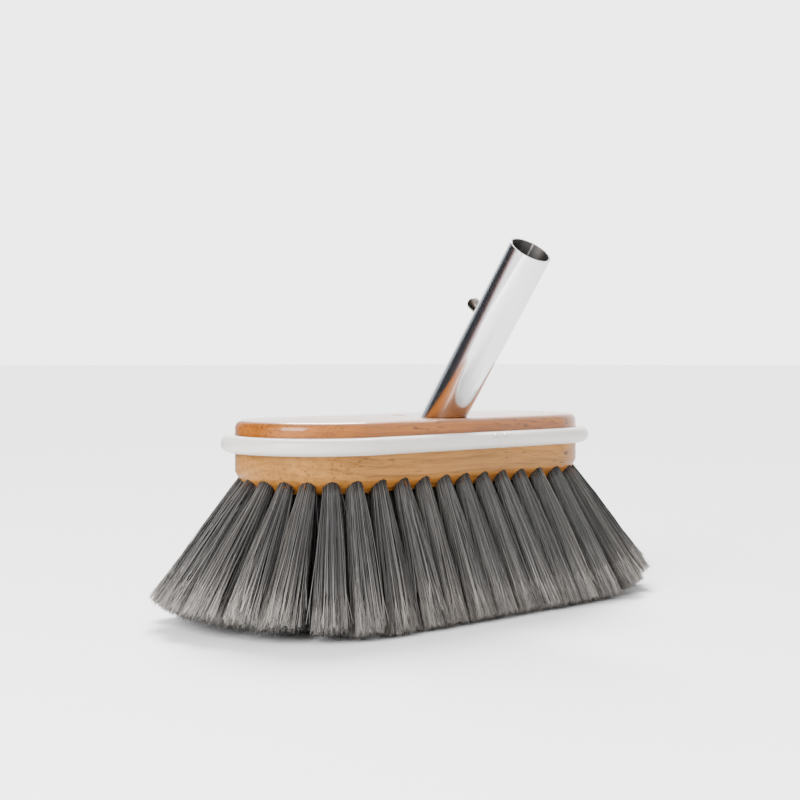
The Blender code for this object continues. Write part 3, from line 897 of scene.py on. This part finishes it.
def torn_fibres(tufts, look, seed):
    """Short curls of wood left round the rims of the drilled holes."""
    rng = np.random.default_rng(seed)
    paths = []
    t = np.linspace(0.0, 1.0, FIBRE_STEPS)
    for tuft in tufts:
        for _ in range(rng.integers(2, 6)):
            turn = rng.uniform(0, 2 * math.pi)
            rim = tuft.first * math.cos(turn) + tuft.second * math.sin(turn)
            foot = tuft.root + rim * (TUFT_RADIUS + 0.0006) + tuft.axis * 0.0004
            curl = rng.normal(0, 0.0016, 3)
            end = rim * rng.uniform(0.0, 0.0012) - tuft.axis * rng.uniform(0.0015, 0.0055)
            paths.append(foot + t[:, None] * end + (t ** 2)[:, None] * curl
                         + np.sin(math.pi * t)[:, None] * rng.normal(0, 0.0004, 3))
    paths = np.array(paths)
    sizes = np.array(FIBRE_TAPER) * rng.uniform(0.00008, 0.00018, (len(paths), 1))
    points, faces = rods(paths, sizes)
    mesh = bpy.data.meshes.new("torn_wood_fibres")
    mesh.from_pydata(points.tolist(), [], faces.tolist())
    mesh.shade_smooth()
    obj = bpy.data.objects.new("torn_wood_fibres", mesh)
    bpy.context.scene.collection.objects.link(obj)
    dress(obj, look)
    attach(obj, "brush")
    return obj


# ---------------------------------------------------------------- operators

class BRUSH_OT_wood(bpy.types.Operator):
    """Give the wood block its varnished timber finish"""
    bl_idname = "brush.wood"
    bl_label = "Wood Block"

    def execute(self, context):
        look = varnished_wood(context.scene.brush_finishes)
        block = worked_copy("wood_block", "varnished_block", "brush",
                            angle=35.0)
        dress(block, look)
        outer = [tuft for side in ring_tufts("outer").values() for tuft in side]
        torn_fibres(outer, look, 90)
        return {"FINISHED"}


class BRUSH_OT_bumper(bpy.types.Operator):
    """Smooth the vinyl bumper strip and give it its finish"""
    bl_idname = "brush.bumper"
    bl_label = "Vinyl Bumper"

    def execute(self, context):
        look = bumper_vinyl(context.scene.brush_finishes)
        strip = worked_copy("bumper_strip", "vinyl_bumper", "brush",
                            angle=40.0)
        dress(strip, look)
        return {"FINISHED"}


class BRUSH_OT_tube(bpy.types.Operator):
    """Polish the handle tube"""
    bl_idname = "brush.tube"
    bl_label = "Handle Tube"

    def execute(self, context):
        look = polished_tube(context.scene.brush_finishes)
        tube = worked_copy("handle_tube", "polished_handle_tube", "brush",
                           angle=40.0, edge=0.0002)
        dress(tube, look)
        return {"FINISHED"}


class BRUSH_OT_hardware(bpy.types.Operator):
    """Finish the snap button, its spring and rivet, the screw and the brads"""
    bl_idname = "brush.hardware"
    bl_label = "Button, Spring and Fasteners"

    def execute(self, context):
        p = context.scene.brush_finishes
        nickel = metal("nickel_button", tuple(p.button), 0.18, 0.34, depth=0.05)
        spring = metal("spring_steel", tuple(p.steel), 0.25, 0.42, (0.2, 1.0, 1.0))
        brad = metal("brad_steel", tuple(p.steel), 0.30, 0.50, depth=0.15)
        dark = metal("screw_steel", tuple(p.screw), 0.35, 0.55, depth=0.2,
                     grime_share=0.5)
        for node, name, body, slot, look in (
                ("snap_button", "domed_button", "button_lever", "button_nickel", nickel),
                ("button_rivet", "flat_rivet", "button_lever", "spring_steel", spring),
                ("spring_moving_leaf", "moving_leaf", "button_lever", "spring_steel", spring),
                ("spring_fixed_leaf", "fixed_leaf", "brush", "spring_steel", spring),
                ("seam_brad_left", "brad_left", "brush", "brad_steel", brad),
                ("seam_brad_right", "brad_right", "brush", "brad_steel", brad),
                ("lock_screw", "slotted_lock_screw", "brush", "screw_steel", dark)):
            piece = worked_copy(node, name, body, angle=35.0, edge=0.00012)
            dress(piece, look)
        return {"FINISHED"}


class BRUSH_OT_bristles(bpy.types.Operator):
    """Lay every row of bristle tufts, filament by filament"""
    bl_idname = "brush.bristles"
    bl_label = "Bristles"

    def execute(self, context):
        p = context.scene.brush_bristles
        looks = (bristle_look(p), painted_shade_core())
        seed = p.seed
        for kind in RINGS:
            outer = kind == "outer"
            for side, tufts in ring_tufts(kind).items():
                seed += 1
                lay_row(f"{kind}_bristles_{side}", f"{kind}_tufts_{side}", tufts,
                        p.outer_strands if outer else p.inner_strands,
                        p.strand_radius * (1.0 if outer else 1.25), seed,
                        2 if outer else 1, looks)
        lay_row("centre_bristles", "centre_tufts", centre_tufts(), p.inner_strands,
                p.strand_radius * 1.25, seed + 1, 1, looks)
        return {"FINISHED"}


class BRUSH_OT_studio(bpy.types.Operator):
    """Set the plain floor, the soft lights and the camera"""
    bl_idname = "brush.studio"
    bl_label = "Studio"

    def reflection_card(self, context):
        """Curved card, behind and left of the brush, seen only in reflections; it
        runs from grey through near-black and russet to pale."""
        bpy.ops.object.select_all(action="DESELECT")
        bpy.ops.mesh.primitive_grid_add(x_subdivisions=CARD_STEPS, y_subdivisions=1, size=1.0)
        card = context.view_layer.objects.active
        card.name = "reflection_card"
        for vert in card.data.vertices:
            turn = CARD_NEAR + (CARD_FAR - CARD_NEAR) * (vert.co.x + 0.5)
            vert.co = (-CARD_REACH * math.sin(turn), CARD_REACH * math.cos(turn) + TUBE_Y,
                       CARD_HEIGHT * (vert.co.y + 0.5))
        look, n, shader = new_material("reflection_card")
        split = n.add("ShaderNodeSeparateXYZ")
        n.join(n.place(), split.inputs[0])
        turn = n.maths("ARCTAN2", n.maths("MULTIPLY", split.outputs[0], -1.0),
                       n.maths("SUBTRACT", split.outputs[1], TUBE_Y))
        share = n.span(turn, CARD_NEAR, CARD_FAR)
        n.join(n.ramp(share, ((0.0, (0.34, 0.36, 0.40)), (0.22, (0.20, 0.22, 0.25)),
                              (0.36, (0.010, 0.011, 0.014)), (0.68, (0.012, 0.012, 0.014)),
                              (0.80, (0.10, 0.05, 0.048)), (0.88, (0.36, 0.27, 0.26)),
                              (1.0, (0.8, 0.76, 0.76)))),
               shader.inputs["Base Color"])
        shader.inputs["Roughness"].default_value = 0.9
        dress(card, look)
        card.visible_camera = False
        card.visible_diffuse = False
        card.visible_shadow = False

    def execute(self, context):
        p = context.scene.brush_studio
        bpy.ops.object.select_all(action="DESELECT")
        bpy.ops.mesh.primitive_plane_add(size=60.0, location=(0, 0, -0.0002))
        floor = context.view_layer.objects.active
        floor.name = "studio_floor"
        made, n, shader = new_material("studio_floor")
        patch = n.noise(n.place(), 3.0, 2.0).outputs[0]
        pale = tuple(p.floor_colour)
        n.join(n.blend(patch, pale, tuple(c * 0.985 for c in pale)),
               shader.inputs["Base Color"])
        shader.inputs["Roughness"].default_value = 0.9
        shader.inputs["Specular IOR Level"].default_value = 0.1
        dress(floor, made)

        world = bpy.data.worlds.new("studio_sky")
        context.scene.world = world
        world.use_nodes = True
        back = world.node_tree.nodes["Background"]
        n = Nodes(world.node_tree)
        path = n.add("ShaderNodeLightPath")
        mirrored = n.span(path.outputs["Is Glossy Ray"], 0.0, 1.0, p.sky, GLOSSY_SKY)
        n.join(n.maths("MAXIMUM", mirrored,
                       n.maths("MULTIPLY", path.outputs["Is Camera Ray"], p.backdrop)),
               back.inputs["Strength"])
        back.inputs["Color"].default_value = (1.0, 1.0, 1.0, 1.0)

        self.reflection_card(context)
        sun = bpy.data.lights.new("overhead_light", "SUN")
        sun.energy = p.key
        sun.angle = SUN_WIDTH
        left = bpy.data.lights.new("left_softbox", "AREA")
        left.shape = "SQUARE"
        left.size = SOFTBOX_SIZE
        left.energy = p.fill
        for light, place in ((sun, SUN_PLACE), (left, SOFTBOX_PLACE)):
            lamp = bpy.data.objects.new(light.name, light)
            lamp.location = place
            lamp.rotation_mode = "QUATERNION"
            lamp.rotation_quaternion = (-Vector(place)).to_track_quat("-Z", "Y")
            context.scene.collection.objects.link(lamp)

        camera = bpy.data.cameras.new("studio_camera")
        camera.lens = p.lens
        camera.sensor_width = 36.0
        camera.clip_start = 0.05
        eye = bpy.data.objects.new("studio_camera", camera)
        look = Vector(CAMERA_LOOK).normalized()
        right = look.cross(UP).normalized()
        up = right.cross(look)
        eye.matrix_world = Matrix.Translation(CAMERA_PLACE) @ Matrix((
            (right.x, up.x, -look.x, 0), (right.y, up.y, -look.y, 0),
            (right.z, up.z, -look.z, 0), (0, 0, 0, 1)))
        context.scene.collection.objects.link(eye)
        context.scene.camera = eye
        return {"FINISHED"}


OPERATORS = (BRUSH_OT_wood, BRUSH_OT_bumper, BRUSH_OT_tube, BRUSH_OT_hardware,
             BRUSH_OT_bristles, BRUSH_OT_studio)


class BRUSH_PT_panel(bpy.types.Panel):
    """Sidebar list of the brush's pieces"""
    bl_idname = "BRUSH_PT_panel"
    bl_label = "Wall Brush"
    bl_space_type = "VIEW_3D"
    bl_region_type = "UI"
    bl_category = "Brush"

    def draw(self, context):
        for operator in OPERATORS:
            self.layout.operator(operator.bl_idname)
        for group in (context.scene.brush_bristles, context.scene.brush_finishes,
                      context.scene.brush_studio):
            box = self.layout.box()
            for name in group.__annotations__:
                box.prop(group, name)


CLASSES = (BrushBristles, BrushFinishes, BrushStudio, *OPERATORS, BRUSH_PT_panel)


def register():
    for item in CLASSES:
        bpy.utils.register_class(item)
    bpy.types.Scene.brush_bristles = bpy.props.PointerProperty(type=BrushBristles)
    bpy.types.Scene.brush_finishes = bpy.props.PointerProperty(type=BrushFinishes)
    bpy.types.Scene.brush_studio = bpy.props.PointerProperty(type=BrushStudio)


def unregister():
    del bpy.types.Scene.brush_bristles
    del bpy.types.Scene.brush_finishes
    del bpy.types.Scene.brush_studio
    for item in reversed(CLASSES):
        bpy.utils.unregister_class(item)


def main():
    register()
    bpy.ops.brush.wood()
    bpy.ops.brush.bumper()
    bpy.ops.brush.tube()
    bpy.ops.brush.hardware()
    bpy.ops.brush.bristles()
    bpy.ops.brush.studio()


if __name__ == "__main__":
    main()
